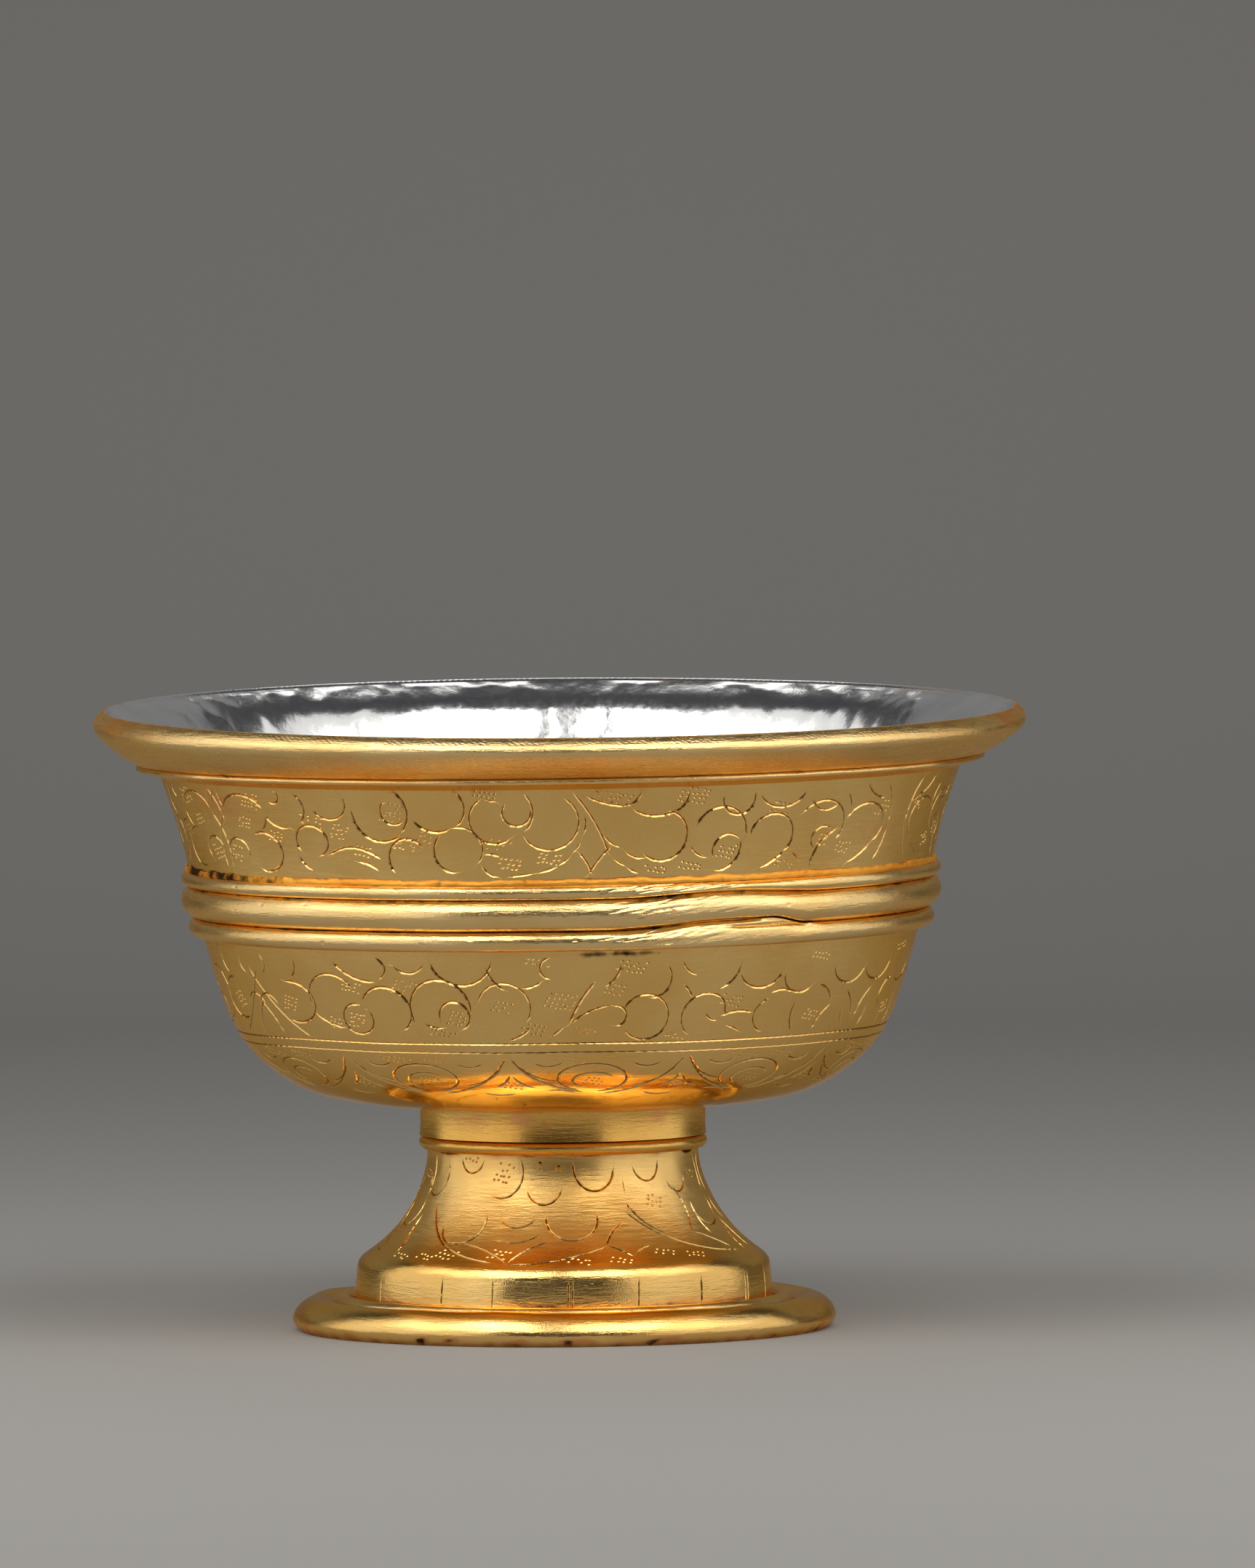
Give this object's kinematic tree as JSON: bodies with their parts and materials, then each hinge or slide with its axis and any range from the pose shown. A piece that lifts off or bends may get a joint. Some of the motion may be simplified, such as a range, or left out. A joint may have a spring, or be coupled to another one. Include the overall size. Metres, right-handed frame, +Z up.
{
  "type": "offering bowl",
  "caption": "Footed gilt copper offering bowl: flared rounded lip, beaded waist belt, silver-lined cup, and a hollow flared foot on a wide round base flange.",
  "frame": {"origin": "middle of the base flange's rest face, on the ground", "axes": "+Z up along the bowl's axis; the pictured side faces -Y"},
  "size_m": [0.126, 0.126, 0.084],
  "materials": {
    "gilt_copper": "satin burnished gilding over copper",
    "silver": "hammered and polished silver",
    "solder": "dull coppery solder"
  },
  "bodies": {
    "root": {"cup": "gilt_copper", "silver_lining": "silver", "rim_moulding": "gilt_copper", "rim_bead": "gilt_copper", "waist_upper_bead": "gilt_copper", "waist_belt": "gilt_copper", "waist_lower_bead": "gilt_copper", "waist_solder": "gilt_copper", "neck_collar": "gilt_copper", "neck_bead": "gilt_copper", "foot": "gilt_copper", "base_flange": "gilt_copper", "base_bead": "gilt_copper", "neck_solder": "solder", "base_solder": "solder"}
  },
  "joints": []
}
